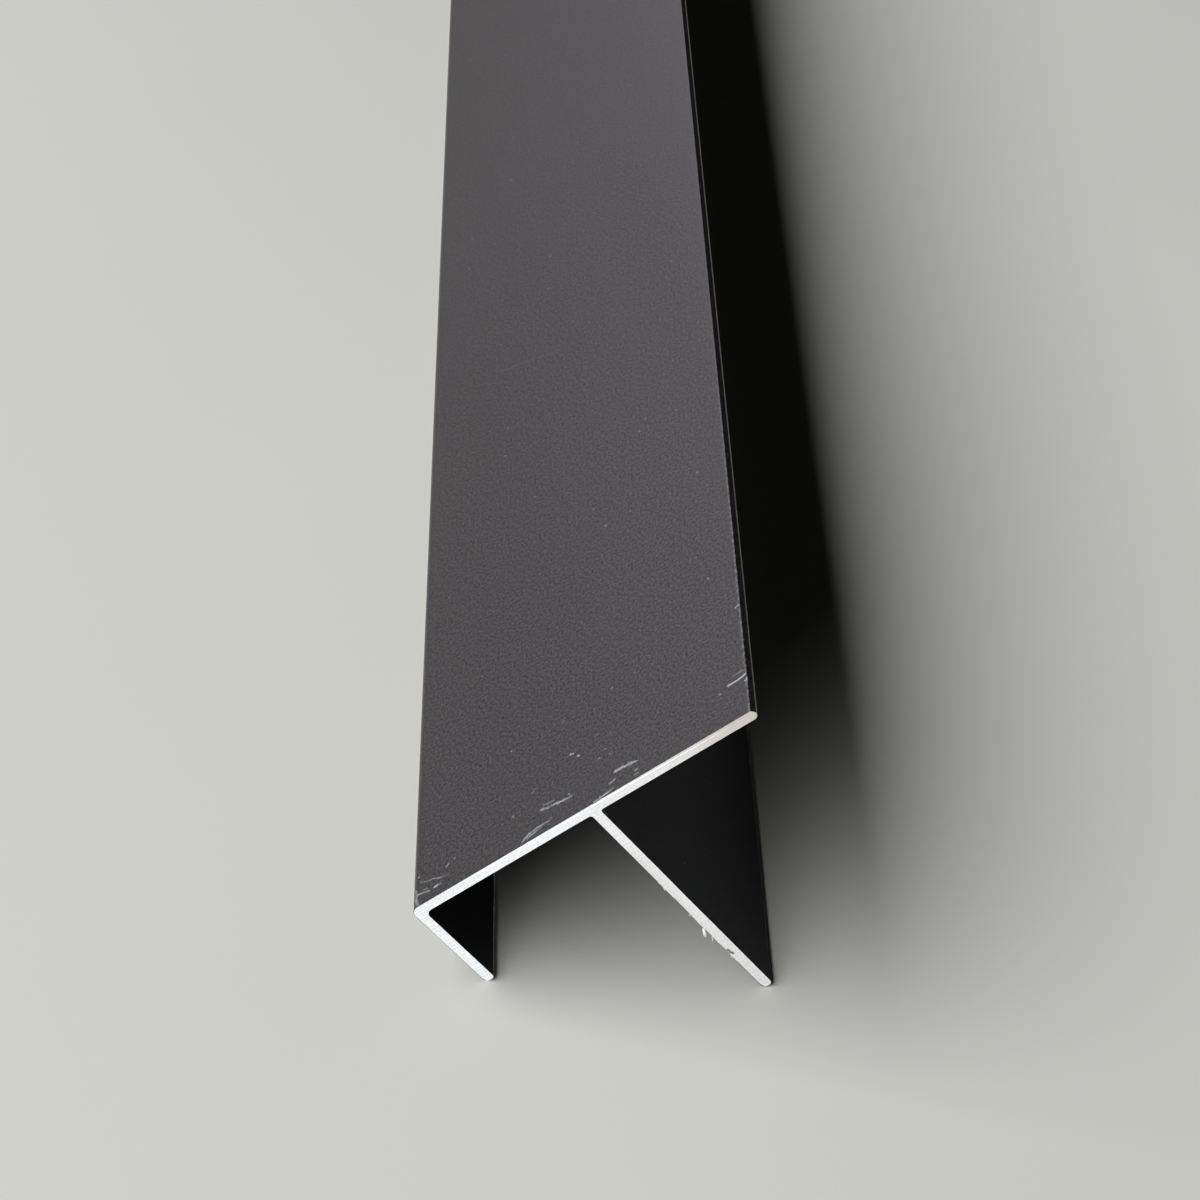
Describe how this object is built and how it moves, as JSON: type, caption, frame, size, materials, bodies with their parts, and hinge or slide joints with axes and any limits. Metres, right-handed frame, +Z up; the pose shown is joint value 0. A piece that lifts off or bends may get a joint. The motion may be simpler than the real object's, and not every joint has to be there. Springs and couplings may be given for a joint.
{
  "type": "aluminium extrusion profile",
  "caption": "Powder-coated aluminium edge trim: a cover plate with a short flange along one edge and a deeper web further in, forming a channel for a board. Sawn square.",
  "frame": {"origin": "middle of the bounding box, on the level surface that the bar's two leg tips stand on", "axes": "+Y along the bar, +Z up, -X towards the short flange; the cover plate slopes down to -X because the two legs differ in depth"},
  "size_m": [0.0504, 1, 0.0496],
  "materials": {
    "powder_coat": "matt fine-grained powder coat, dark bronze grey",
    "sawn_aluminium": "bare, freshly sawn; the two end faces and their burrs"
  },
  "bodies": {
    "root": {"edge_profile": "powder_coat"}
  },
  "joints": []
}
